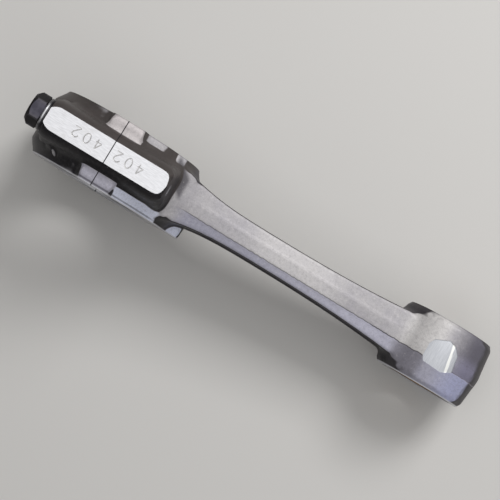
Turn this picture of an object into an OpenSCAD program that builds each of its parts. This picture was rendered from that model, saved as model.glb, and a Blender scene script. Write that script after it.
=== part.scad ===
// Forged connecting rod for a small diesel engine, with a bolted big-end cap.
// Frame: origin at the centre of the crankpin bore, +X towards the small end,
// +Y along both bores, +Z across the rod from bolt to bolt. Millimetres.

/* [Main sizes] */
// Distance between the two bore centres
centre_distance = 219; // [200:1:240]
// Width over the machined faces of both ends
end_width = 40; // [38:0.5:44]

/* [Bores and bearings] */
// Diameter of the crankpin that the big end runs on
crankpin_d = 63.5; // [62:0.1:64.5]
// Running clearance on radius between crankpin and shells
pin_clearance = 0.03; // [0.02:0.01:0.06]
// Bore of the big-end housing that the shells sit in
housing_d = 67.2; // [66.4:0.1:68]
// Width of the bearing shells
shell_width = 33; // [28:0.5:36]
// Diameter of the piston pin
piston_pin_d = 38; // [35:0.5:39]
// Running clearance on radius between piston pin and bush
bush_clearance = 0.02; // [0.01:0.01:0.04]
// Bore of the eye that the bush is pressed into
eye_bore_d = 42; // [41:0.5:44]
// Clearance on radius of parts that sit home in a bore
seat_clearance = 0.01; // [0.005:0.005:0.02]
// How far the bush stops short of each face of the eye
bush_inset = 0.4; // [0.2:0.1:1]
// Oil hole through the crown of the eye and the bush
oil_hole_d = 5; // [3:0.5:7]

/* [Big end] */
// Outer radius of the ring round the big-end bore
ring_r = 44.5; // [43:0.5:45.5]
// Radius of the ring where its bevel meets the machined face
ring_face_r = 39.5; // [38:0.5:41]
// Half width of the ring's outer surface, inside the bevels
ring_flat_w = 12.5; // [11:0.5:15]
// How far the ring's round end is set out towards the beam
ring_reach = 7; // [6:0.5:7]
// Reach of the lug that carries the -Y face on towards the beam
lug_reach = 57; // [56:0.5:58]
// Half height of that lug
lug_h = 8; // [7:0.5:9]
// Height of the joint pads above the bore centre
pad_z = 46.4; // [45.6:0.2:47.6]
// Length of a joint pad on the cap
pad_len_cap = 9.5; // [6:0.5:13]
// Length of a joint pad on the rod
pad_len_rod = 11.5; // [8:0.5:15]
// Height of the milled flats above the bore centre
flat_z = 52; // [51.4:0.2:53]
// Radius of the bosses round the bolts
boss_r = 11.6; // [11:0.2:12.4]
// Reach of the rod-side bosses from the joint, at the flats
boss_len = 35.4; // [34:0.2:37]
// Draft of the blind end of a rod-side boss, in degrees
boss_end_draft = 12; // [8:1:15]
// Radius of the corners between that end and the flanks
boss_corner_r = 6.5; // [5:0.5:7.5]
// Half width of a boss where it roots in the ring
boss_root_w = 13.4; // [12.8:0.2:15]
// Width of the hardness tester's dimple on the cap's bevel
dimple_d = 5.6; // [4:0.2:7]

/* [Bolts] */
// Distance between the two bolt axes
bolt_spread = 85.2; // [84.8:0.2:86.4]
// Thread diameter of the cap bolts
bolt_d = 12; // [11:0.5:12.5]
// Clearance on radius of the bolts in the cap
bolt_clearance = 0.3; // [0.1:0.05:0.4]
// Distance from the joint to the bolt seats on the cap
seat_x = 38.4; // [37:0.2:40]
// Width of the hexagon heads across flats
head_af = 17; // [16:0.5:18]
// Height of the hexagon heads
head_h = 8; // [6:0.5:10]
// Thickness of the washers under the heads
washer_t = 2.6; // [1.6:0.2:3.4]
// Outer diameter of the washers
washer_d = 19; // [18:0.5:20]
// Length of bolt that reaches past the joint
bolt_reach = 25; // [20:0.5:27]
// Wall of the ring dowels round the bolts
dowel_wall = 0.9; // [0.8:0.1:1.2]
// Length of a ring dowel
dowel_len = 13; // [8:0.5:18]

/* [Beam] */
// Half height of the beam at its big end
beam_h_big = 23; // [21:0.5:25]
// Half height of the beam at its small end
beam_h_small = 17.5; // [16:0.5:19]
// Half thickness of the beam at its thinnest
beam_t_mid = 9.8; // [8.4:0.2:11.6]
// Half thickness of the beam where it leaves the big end
beam_t_big = 13; // [12:0.2:14]
// Half thickness of the beam where it meets the eye
beam_t_small = 13.6; // [12.6:0.2:15]
// Thickness of the web between the two recesses
web_t = 6.5; // [5:0.5:9]
// Width of the flange above and below each recess
flange_t = 7; // [6:0.5:8.5]
// Fillet radius where the web meets the flanges
web_fillet = 3; // [2:0.5:3.5]
// Draft angle of the forged faces
draft = 6; // [3:0.5:8]
// Width of the trimmed flash band along the edge
flash_w = 7.5; // [5:0.5:9]
// Height of the flash band over the drafted faces
flash_h = 0.4; // [0.2:0.1:0.8]
// Place of the flash band's middle along the bores
flash_y = -1.2; // [-2:0.2:0]

/* [Small end] */
// Outer radius of the eye at its middle
eye_r = 29.8; // [28.4:0.2:31]
// Bevel where the eye meets its machined faces
eye_bevel = 2; // [1:0.5:3]

/* [Hidden] */

$fn = 96;
CUT = 1;                           // a cutting shape passes a face by this much
BIG = 400;                         // larger than the part in every direction

half_w = end_width / 2;
housing_r = housing_d / 2;
bolt_z = bolt_spread / 2;
root_z = bolt_z - boss_r;          // pads and flanks start this low, inside the ring
rod_root_z = root_z - 2;           // flanks on the rod start lower, where the ring falls away
edge_bevel = 1.2;                  // breaks the edges of the ring, the pads and the cap's bosses
bore_chamfer = 0.8;                // at the mouths of the housing and the eye
side_y = flash_w / 2;              // half of the flash band

bolt_hole_r = bolt_d / 2 + bolt_clearance;
thread_clearance = 0.05;           // radial play that stands for the thread's fit
thread_hole_r = bolt_d / 2 + thread_clearance;
hole_depth = bolt_reach + 2.5;     // the tapped hole runs a little past the bolt
drill_point = 3;                   // cone at its end
drill_web_r = 0.5;                 // and the blunt tip of that cone

dowel_r = bolt_hole_r + dowel_wall;
dowel_end_gap = 0.3;               // gap at each end of a dowel in its counterbore
dowel_sink = dowel_len / 2 + dowel_end_gap;

shell_r = housing_r - seat_clearance;
shell_bore_r = crankpin_d / 2 + pin_clearance;
shell_chamfer = 0.4;
tang_w = 6;                        // width of a shell's locating tang, along the bore
tang_len = 5;                      // its length from the joint
tang_out = 1.3;                    // how far it stands out of the housing's bore
tang_root = 0.5;                   // how far it roots in the shell
tang_y = 8;                        // its place along the bore
tang_slack = 0.15;                 // clearance round it in its slot

bush_r = eye_bore_d / 2 - seat_clearance;
bush_bore_r = piston_pin_d / 2 + bush_clearance;
bush_length = end_width - 2 * bush_inset;
bush_chamfer = 0.4;

FORGED = [0.42, 0.42, 0.45];
BLACK_STEEL = [0.14, 0.14, 0.16];
BRIGHT_STEEL = [0.78, 0.78, 0.80];
SHELL_GREY = [0.60, 0.61, 0.63];
BRONZE = [0.72, 0.52, 0.28];

// ---- shapes used by several pieces ---------------------------------------------------------

// A closed outline from the half of it that lies on the +Y side, as [y, height] points
function both_sides(half) =
  concat(half, [for (i = [len(half) - 1:-1:0]) [-half[i][0], half[i][1]]]);

// The same outline turned into [height, y], for a revolve
function as_profile(outline) = [for (p = outline) [p[1], p[0]]];

// A run along X, from x0 to x1, of an outline in [y, z]
module along_x(x0, x1) {
  translate([x0, 0, 0]) rotate([90, 0, 90]) linear_extrude(x1 - x0) children();
}

// Half a revolve round the bores' direction; turn 0 faces the beam and 180 the cap
module half_revolve(turn) {
  rotate([-90, 0, 0]) rotate([0, 0, turn - 90]) rotate_extrude(angle = 180) children();
}

module cylinder_y(r, length) {
  rotate([90, 0, 0]) cylinder(r = r, h = length, center = true);
}

module cylinder_x(r, x0, x1) {
  translate([x0, 0, 0]) rotate([0, 90, 0]) cylinder(r = r, h = x1 - x0);
}

module cone_x(r0, r1, x0, x1) {
  translate([x0, 0, 0]) rotate([0, 90, 0]) cylinder(r1 = r0, r2 = r1, h = x1 - x0);
}

// Section of a plain ring with all four corners broken, for a revolve
module ring_section(r0, r1, length, c) {
  h = length / 2;
  polygon([[r0 + c, -h], [r1 - c, -h], [r1, c - h], [r1, h - c],
           [r1 - c, h], [r0 + c, h], [r0, h - c], [r0, c - h]]);
}

// A plain ring round X, between x0 and x1
module ring_x(r0, r1, x0, x1, c) {
  translate([(x0 + x1) / 2, 0, 0]) rotate([0, 90, 0]) rotate_extrude() ring_section(r0, r1, x1 - x0, c);
}

// A bore through the full width, with a chamfer at each mouth
module chamfered_bore(r) {
  cylinder_y(r, end_width + 2 * CUT);
  for (side = [0, 1])
    mirror([0, side, 0]) translate([0, half_w - bore_chamfer, 0]) rotate([-90, 0, 0])
      cylinder(r1 = r, r2 = r + bore_chamfer + CUT, h = bore_chamfer + CUT);
}

module above_and_below() {
  for (side = [0, 1]) mirror([0, 0, side]) children();
}

module at_both_bolts() {
  above_and_below() translate([0, 0, bolt_z]) children();
}

// ---- big end, shared by the rod and the cap ------------------------------------------------

// Half of the ring's section: machined face, bevel and outer surface, as [y, radius]
RING = [[half_w, 0], [half_w, ring_face_r], [ring_flat_w + edge_bevel, ring_r - edge_bevel / 2],
        [ring_flat_w, ring_r]];

// Pads beside the joint, flat on top and broken along their outer edges
module joint_pad(x0, x1) {
  along_x(x0, x1)
    polygon(both_sides([[half_w, root_z], [half_w, pad_z - edge_bevel], [half_w - edge_bevel, pad_z]]));
}

// Flanks under a boss, spreading towards the ring
module boss_flanks(x0, x1, low_z) {
  along_x(x0, x1) polygon(both_sides([[boss_root_w, low_z], [boss_root_w, housing_r], [boss_r, bolt_z]]));
}

module above_flat() {
  translate([-BIG / 2, -BIG / 2, flat_z]) cube(BIG);
}

// Slot for a shell's locating tang, in the rod's side of the joint
module tang_slot() {
  w = tang_w + 2 * tang_slack;
  r = housing_r + tang_out + tang_slack;
  intersection() {
    translate([-CUT, tang_y - w / 2, -r]) cube([tang_len + tang_slack + CUT, w, r]);
    cylinder_y(r, end_width);
  }
}

// ---- rod body ------------------------------------------------------------------------------

beam_x0 = 25;                                 // the loft starts inside the ring
beam_x1 = centre_distance - 13;               // and ends inside the eye
line_x0 = 60;                                 // where beam_h_big is measured
line_x1 = centre_distance - 39;               // where beam_h_small is measured
shoulder_x0 = 39;                             // the shoulder leaves the ring here
shoulder_x1 = 78;                             // and has run out into the beam here
shoulder_lift = 1;                            // how far it stands out of the ring there
neck_x1 = centre_distance - 22;               // from line_x1 the neck rises into the eye here
thin_x = 100;                                 // the thinnest place of the beam
waist_x0 = 52;                                // where beam_t_big is measured
waist_x1 = centre_distance - 27;              // where beam_t_small is measured
waist_power_big = 3;                          // how late the beam widens towards each end
waist_power_small = 2.4;
beam_t_max = 15.5;                            // inside the ring it widens no further
flange_edge_r = 1.6;                          // forged edges of the flanges
STATIONS = 44;                                // sections along the beam
EDGE_STEPS = 4;                               // facets in a rounded edge

// Height of a round of radius r, at a distance dx from its centre
function round_z(r, dx) = sqrt(r * r - dx * dx);

function straight_h(x) = beam_h_big + (beam_h_small - beam_h_big) * (x - line_x0) / (line_x1 - line_x0);

shoulder_rise = round_z(ring_r, shoulder_x0 - ring_reach) + shoulder_lift - straight_h(shoulder_x0);
neck_rise = round_z(eye_r, neck_x1 - centre_distance) - straight_h(neck_x1);

// Half height of the beam: a straight taper that sweeps up into the ring and into the eye
function beam_h(x) =
  straight_h(x)
  + shoulder_rise * pow(max(0, shoulder_x1 - x) / (shoulder_x1 - shoulder_x0), 2)
  + neck_rise * pow(max(0, x - line_x1) / (neck_x1 - line_x1), 2);

// Half thickness of the beam: waisted, thinnest at thin_x
function beam_t(x) =
  x < thin_x
    ? beam_t_mid + (beam_t_big - beam_t_mid) * pow((thin_x - x) / (thin_x - waist_x0), waist_power_big)
    : beam_t_mid + (beam_t_small - beam_t_mid) * pow((x - thin_x) / (waist_x1 - thin_x), waist_power_small);

// One quarter of the section, from the flash band round the edge to the side, as [y, z];
// side is 1 on the +Y side and -1 on the other
function beam_quarter(x, side) =
  let (h = beam_h(x), t = min(beam_t(x), beam_t_max), b = side_y + side * flash_y, r = flange_edge_r,
       top = h - flash_h - (t - b) * tan(draft))
  concat([[b, h], [b + flash_h, h - flash_h]],
         [for (i = [0:EDGE_STEPS]) let (a = 90 - 90 * i / EDGE_STEPS)
            [t - r + r * cos(a), top - r + r * sin(a)]],
         [[t, 0]]);

function beam_section(x) =
  let (near = beam_quarter(x, 1), far = beam_quarter(x, -1), last = len(near) - 1)
  concat([for (i = [0:last]) [x, near[i][0], near[i][1]]],
         [for (i = [last - 1:-1:0]) [x, near[i][0], -near[i][1]]],
         [for (i = [0:last]) [x, -far[i][0], -far[i][1]]],
         [for (i = [last - 1:-1:0]) [x, -far[i][0], far[i][1]]]);

module beam_loft() {
  sections = [for (i = [0:STATIONS]) beam_section(beam_x0 + (beam_x1 - beam_x0) * i / STATIONS)];
  n = len(sections[0]);
  polyhedron(
    points = [for (s = sections, p = s) p],
    faces = concat(
      [[for (i = [n - 1:-1:0]) i]],
      [for (s = [0:STATIONS - 1], i = [0:n - 1]) let (j = (i + 1) % n)
         [s * n + i, s * n + j, (s + 1) * n + j, (s + 1) * n + i]],
      [[for (i = [0:n - 1]) STATIONS * n + i]]));
}

recess_x0 = 72;                               // centre of the recess's round end, big end
recess_x1 = centre_distance - 42;             // and at the small end
RECESS_FN = 48;

// Disc with a drafted wall and a filleted floor, from which a recess is blended
module recess_disc(floor_r) {
  depth = half_w;
  wall_r = floor_r - web_fillet + web_fillet / cos(draft) + (depth - web_fillet) * tan(draft);
  rotate_extrude($fn = RECESS_FN)
    polygon(concat([[0, 0]],
      [for (i = [0:EDGE_STEPS]) let (a = -90 + (90 - draft) * i / EDGE_STEPS)
         [floor_r - web_fillet + web_fillet * cos(a), web_fillet + web_fillet * sin(a)]],
      [[wall_r, depth], [0, depth]]));
}

// Recess in one side of the beam: round-ended and tapered with the beam
module web_recess() {
  translate([0, web_t / 2, 0]) rotate([-90, 0, 0]) hull()
    for (x = [recess_x0, recess_x1]) translate([x, 0, 0]) recess_disc(beam_h(x) - flange_t);
}

// One half of the eye's section, widest at the flash line and drafted to its face
function eye_half(side) =
  let (b = side_y + side * flash_y, bevel_y = half_w - eye_bevel,
       side_r = eye_r - flash_h - (bevel_y - b) * tan(draft))
  [[eye_r, b], [eye_r - flash_h, b + flash_h], [side_r, bevel_y], [side_r - eye_bevel, half_w], [0, half_w]];

module eye() {
  near = eye_half(1);
  far = eye_half(-1);
  translate([centre_distance, 0, 0]) rotate([-90, 0, 0]) rotate_extrude()
    polygon(concat(near, [for (i = [len(far) - 1:-1:0]) [far[i][0], -far[i][1]]]));
}

boss_taper = 6;                               // towards its end a boss narrows over this length
boss_crown_r = 18;                            // along an arc of this radius
boss_reach = boss_len + (flat_z - rod_root_z) * tan(boss_end_draft);

// Everything short of a boss's blind end: drafted, and rounded into both flanks
module short_of_end() {
  w = boss_root_w + CUT;
  translate([boss_len, 0, flat_z]) rotate([0, -boss_end_draft, 0]) linear_extrude(BIG, center = true) {
    translate([-BIG, -w]) square([BIG - boss_corner_r, 2 * w]);
    translate([-BIG, boss_corner_r - w]) square([BIG, 2 * (w - boss_corner_r)]);
    for (side = [-1, 1]) translate([-boss_corner_r, side * (w - boss_corner_r)]) circle(boss_corner_r);
  }
}

// Rod-side boss: round along the bolt, on flanks that root in the ring
module rod_boss() {
  intersection() {
    union() {
      translate([0, 0, bolt_z]) rotate([0, 90, 0]) rotate_extrude() {
        square([boss_r, boss_len - boss_taper]);
        intersection() {
          translate([boss_r - boss_crown_r, boss_len - boss_taper]) circle(boss_crown_r);
          square([boss_r, boss_reach + CUT]);
        }
      }
      boss_flanks(0, boss_reach + CUT, rod_root_z);
    }
    short_of_end();
  }
}

lug_x0 = 40;                                  // the lug starts inside the ring
lug_root_y = half_w / 2;                      // and roots in the beam

// Lug on the -Y side, flush with the ring's face: drafted end, broken outer edges
module face_lug() {
  mirror([0, 1, 0]) intersection() {
    along_x(lug_x0, lug_reach)
      polygon([[lug_root_y, -lug_h], [half_w - edge_bevel, -lug_h], [half_w, edge_bevel - lug_h],
               [half_w, lug_h - edge_bevel], [half_w - edge_bevel, lug_h], [lug_root_y, lug_h]]);
    above_and_below() rotate([90, 0, 0]) linear_extrude(BIG, center = true)
      polygon([[0, -CUT], [lug_reach + CUT * tan(boss_end_draft), -CUT],
               [lug_reach - lug_h * tan(boss_end_draft), lug_h], [0, lug_h]]);
  }
}

module rod_forging() {
  translate([ring_reach, 0, 0]) half_revolve(0) polygon(as_profile(both_sides(RING)));
  above_and_below() {
    along_x(0, ring_reach) polygon(both_sides(RING));
    joint_pad(0, pad_len_rod);
    difference() {
      rod_boss();
      above_flat();
    }
  }
  face_lug();
  beam_loft();
  eye();
}

module bolt_hole_in_rod() {
  cylinder_x(thread_hole_r, -CUT, hole_depth);
  cone_x(thread_hole_r, drill_web_r, hole_depth, hole_depth + drill_point);
  cylinder_x(dowel_r + seat_clearance, -CUT, dowel_sink);
}

module rod_body() {
  color(FORGED) difference() {
    rod_forging();
    chamfered_bore(housing_r);
    translate([centre_distance, 0, 0]) {
      chamfered_bore(eye_bore_d / 2);
      cylinder_x(oil_hole_d / 2, 0, eye_r + CUT);
    }
    at_both_bolts() bolt_hole_in_rod();
    tang_slot();
    for (side = [0, 1]) mirror([0, side, 0]) web_recess();
  }
}

// ---- cap -----------------------------------------------------------------------------------

dimple_turn = 53;                             // up from the cap's crown
dimple_y = ring_flat_w + 2;                   // on the -Y bevel
dimple_ball_r = 5;

// Ball that presses the dimple: it stands on the bevel, sunk until the dimple has its width
module dimple_ball() {
  bevel = atan2(ring_r - ring_face_r, half_w - ring_flat_w);
  surface_r = ring_r - (dimple_y - ring_flat_w) * tan(bevel);
  lift = sqrt(pow(dimple_ball_r, 2) - pow(dimple_d / 2, 2));
  rotate([0, dimple_turn, 0])
    translate([-surface_r - lift * cos(bevel), -dimple_y - lift * sin(bevel), 0]) sphere(dimple_ball_r);
}

module cap_forging() {
  half_revolve(180) polygon(as_profile(both_sides(RING)));
  above_and_below() {
    joint_pad(-pad_len_cap, 0);
    boss_flanks(-seat_x, 0, root_z);
    difference() {
      translate([0, 0, bolt_z]) {
        cylinder_x(boss_r, edge_bevel - seat_x, 0);
        cone_x(boss_r - edge_bevel, boss_r, -seat_x, edge_bevel - seat_x);
      }
      above_flat();
    }
  }
}

module bearing_cap() {
  color(FORGED) difference() {
    cap_forging();
    chamfered_bore(housing_r);
    at_both_bolts() {
      cylinder_x(bolt_hole_r, -seat_x - CUT, CUT);
      cylinder_x(dowel_r + seat_clearance, -dowel_sink, CUT);
    }
    mirror([1, 0, 0]) tang_slot();
    dimple_ball();
  }
}

// ---- bolts, washers and dowels -------------------------------------------------------------

head_x = -seat_x - washer_t;                  // underside of the bolt head
head_chamfer = 1.1;                           // turned circle on the head's top, inside the flats
head_chamfer_angle = 45;
shank_waist = 0.7;                             // the waisted shank is this much slimmer
shank_x0 = head_x + 6;
shank_x1 = -dowel_len / 2 - 2;
point_chamfer = 1;
washer_chamfer = 0.5;
dowel_chamfer = 0.3;

// Hexagon head with one flat up, its outer corners turned off
module hex_head() {
  top_r = head_af / 2 - head_chamfer;
  translate([head_x - head_h, 0, 0]) rotate([0, 90, 0]) intersection() {
    rotate([0, 0, 30]) cylinder(r = head_af / sqrt(3), h = head_h, $fn = 6);
    cylinder(r1 = top_r, r2 = top_r + head_h / tan(head_chamfer_angle), h = head_h);
  }
}

// Waisted bolt: it fits the cap's hole only under the head and at the joint
module cap_bolt() {
  r = bolt_d / 2;
  waist_r = r - shank_waist;
  inside_head = head_x - head_h / 2;
  hex_head();
  rotate([0, 90, 0]) rotate_extrude()
    polygon([[0, inside_head], [r, inside_head], [r, shank_x0], [waist_r, shank_x0 + shank_waist],
             [waist_r, shank_x1 - shank_waist], [r, shank_x1], [r, bolt_reach - point_chamfer],
             [r - point_chamfer, bolt_reach], [0, bolt_reach]]);
}

module bolt_upper() {
  color(BLACK_STEEL) translate([0, 0, bolt_z]) cap_bolt();
}

module bolt_lower() {
  color(BLACK_STEEL) mirror([0, 0, 1]) translate([0, 0, bolt_z]) cap_bolt();
}

module washer() {
  ring_x(bolt_hole_r, washer_d / 2, head_x, -seat_x, washer_chamfer);
}

module washer_upper() {
  color(BRIGHT_STEEL) translate([0, 0, bolt_z]) washer();
}

module washer_lower() {
  color(BRIGHT_STEEL) mirror([0, 0, 1]) translate([0, 0, bolt_z]) washer();
}

// Hollow pin round the bolt that locates the cap on the rod
module ring_dowel() {
  ring_x(bolt_hole_r, dowel_r, -dowel_len / 2, dowel_len / 2, dowel_chamfer);
}

module dowel_upper() {
  color(BRIGHT_STEEL) translate([0, 0, bolt_z]) ring_dowel();
}

module dowel_lower() {
  color(BRIGHT_STEEL) mirror([0, 0, 1]) translate([0, 0, bolt_z]) ring_dowel();
}

// ---- bearings ------------------------------------------------------------------------------

module bearing_shell(turn) {
  half_revolve(turn) ring_section(shell_bore_r, shell_r, shell_width, shell_chamfer);
}

// Locating tang at the shell's lower end, pressed outwards into its slot
module shell_tang() {
  r = housing_r + tang_out;
  intersection() {
    translate([0, tang_y - tang_w / 2, -r]) cube([tang_len, tang_w, r]);
    difference() {
      cylinder_y(r, end_width);
      cylinder_y(shell_r - tang_root, end_width + CUT);
    }
  }
}

module shell_rod_side() {
  color(SHELL_GREY) {
    bearing_shell(0);
    shell_tang();
  }
}

module shell_cap_side() {
  color(SHELL_GREY) {
    bearing_shell(180);
    mirror([1, 0, 0]) shell_tang();
  }
}

module small_end_bush() {
  color(BRONZE) translate([centre_distance, 0, 0]) difference() {
    rotate([-90, 0, 0]) rotate_extrude() ring_section(bush_bore_r, bush_r, bush_length, bush_chamfer);
    cylinder_x(oil_hole_d / 2, 0, bush_r + CUT);
  }
}

rod_body();
bearing_cap();
bolt_upper();
bolt_lower();
washer_upper();
washer_lower();
dowel_upper();
dowel_lower();
shell_rod_side();
shell_cap_side();
small_end_bush();
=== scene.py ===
from math import atan2, cos, pi, radians, sin, sqrt, tan

import bmesh
import bpy
from mathutils import Matrix, Vector
from mathutils.bvhtree import BVHTree


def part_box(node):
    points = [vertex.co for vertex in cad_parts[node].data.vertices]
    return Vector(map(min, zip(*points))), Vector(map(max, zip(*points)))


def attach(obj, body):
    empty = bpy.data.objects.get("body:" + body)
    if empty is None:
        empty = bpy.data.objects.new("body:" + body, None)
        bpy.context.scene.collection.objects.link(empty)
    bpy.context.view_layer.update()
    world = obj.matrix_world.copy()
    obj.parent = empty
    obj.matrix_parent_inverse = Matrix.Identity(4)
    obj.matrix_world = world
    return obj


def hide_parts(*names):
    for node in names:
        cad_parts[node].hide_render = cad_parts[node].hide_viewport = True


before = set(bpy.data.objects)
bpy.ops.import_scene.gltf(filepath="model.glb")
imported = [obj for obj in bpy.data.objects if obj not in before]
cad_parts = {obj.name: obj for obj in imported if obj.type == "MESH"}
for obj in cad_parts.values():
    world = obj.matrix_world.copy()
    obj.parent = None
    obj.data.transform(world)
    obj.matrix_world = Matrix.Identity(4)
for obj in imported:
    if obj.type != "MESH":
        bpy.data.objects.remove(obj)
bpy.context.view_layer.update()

mm = 0.001                               # lengths are in metres
along_x, along_y, along_z = Vector((1, 0, 0)), Vector((0, 1, 0)), Vector((0, 0, 1))

# ---- Surfaces of the rod and the cap -------------------------------------------------------
# Both are drop forged from alloy steel, shot blasted, and left with dark scale on their flanks.
# The thrust faces are ground, the flats over the bolts are milled and the bores are turned.


def paint(red, green, blue):
    """A colour from its screen values, 0 to 255."""
    return tuple((c / 255 / 12.92) if c < 10.3 else ((c / 255 + 0.055) / 1.055) ** 2.4
                 for c in (red, green, blue)) + (1.0,)


class Socket:
    """An output of a material's node, with the operators that shader maths needs."""

    def __init__(self, finish, link):
        self.finish, self.link = finish, link

    def maths(self, operation, *values):
        """A Math node's result on these values."""
        return self.finish.node("ShaderNodeMath", {"operation": operation}, dict(enumerate(values)))

    def __add__(self, other): return self.maths("ADD", self, other)
    def __sub__(self, other): return self.maths("SUBTRACT", self, other)
    def __rsub__(self, other): return self.maths("SUBTRACT", other, self)
    def __mul__(self, other): return self.maths("MULTIPLY", self, other)
    def __abs__(self): return self.maths("ABSOLUTE", self)
    __radd__, __rmul__ = __add__, __mul__

    def low(self, other): return self.maths("MINIMUM", self, other)
    def root(self): return self.maths("SQRT", self)

    def rise(self, start, end):
        """Goes softly from 0 at start to 1 at end, whichever of them is the larger."""
        return self.finish.node("ShaderNodeMapRange", {"interpolation_type": "SMOOTHSTEP"},
                                {"Value": self, "From Min": start, "From Max": end})

    def within(self, start, end, soft):
        """Is 1 between start and end, and fades over soft outside them."""
        return self.rise(start - soft, start) * self.rise(end + soft, end)


class Finish:
    """A procedural material in the piece's own coordinates."""

    def __init__(self, name, metallic=0.0, roughness=0.5, **constants):
        self.material = bpy.data.materials.new(name)
        self.material.use_nodes = True
        self.tree = self.material.node_tree
        self.tree.nodes.clear()
        self.shader = self.tree.nodes.new("ShaderNodeBsdfPrincipled")
        output = self.tree.nodes.new("ShaderNodeOutputMaterial")
        self.tree.links.new(self.shader.outputs[0], output.inputs["Surface"])
        self.set(Metallic=metallic, Roughness=roughness)
        self.set(**constants)
        self.place = self.node("ShaderNodeTexCoord", out="Object")
        self.facing = self.node("ShaderNodeTexCoord", out="Normal")
        self.x, self.y, self.z = self.parts(self.place)

    def node(self, kind, settings=None, inputs=None, out=0):
        """One node: its settings are made first, then the values or links of its inputs."""
        made = self.tree.nodes.new(kind)
        for name, value in (settings or {}).items():
            setattr(made, name, value)
        for name, value in (inputs or {}).items():
            self.join(made.inputs[name], value)
        return Socket(self, made.outputs[out])

    def join(self, socket, value):
        """Feeds a socket with a link or with a plain value."""
        if isinstance(value, Socket):
            self.tree.links.new(value.link, socket)
        else:
            socket.default_value = value

    def set(self, **inputs):
        """Feeds the shader's inputs; an underscore in a name stands for a space."""
        for name, value in inputs.items():
            self.join(self.shader.inputs[name.replace("_", " ")], value)

    def parts(self, vector):
        """The x, y and z of a vector."""
        split = self.node("ShaderNodeSeparateXYZ", inputs={0: vector}).link.node
        return [Socket(self, link) for link in split.outputs]

    def mix(self, factor, one, two):
        """Goes from one colour to another as the factor goes from 0 to 1."""
        return self.node("ShaderNodeMix", {"data_type": "RGBA"}, {0: factor, 6: one, 7: two}, out=2)

    def layers(self, colour, *coats):
        """The colour with coats laid over it in turn, each a pair of how much and which colour."""
        for amount, coat in coats:
            colour = self.mix(amount, colour, coat)
        return colour

    def stretched(self, x, y, z):
        """The place, multiplied by these amounts, so that a pattern is drawn out along one way."""
        return self.node("ShaderNodeVectorMath", {"operation": "MULTIPLY"},
                         {0: self.place, 1: (x, y, z)})

    def noise(self, size, detail=2.0, place=None, roughness=0.5):
        """Soft noise from 0 to 1; size is the breadth of its patches in metres."""
        return self.node("ShaderNodeTexNoise",
                         inputs={"Vector": place or self.place, "Scale": 1 / size,
                                 "Detail": detail, "Roughness": roughness})

    def relief(self, *heights):
        """Bumps the surface; each height is a value from 0 to 1 and what it is worth in metres."""
        total = None
        for value, worth in heights:
            height = value * (worth / mm)
            total = height if total is None else total + height
        self.set(Normal=self.node("ShaderNodeBump",
                                  inputs={"Strength": 1.0, "Distance": mm, "Height": total}))


joint_line = 0.22 * mm                   # half of the dark line where the cap meets the rod


def dark_joint(finish, colour):
    """The colour with the thin dark line of the joint drawn on it."""
    return finish.mix(abs(finish.x).rise(joint_line * 1.5, joint_line), colour, paint(28, 27, 30))


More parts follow.
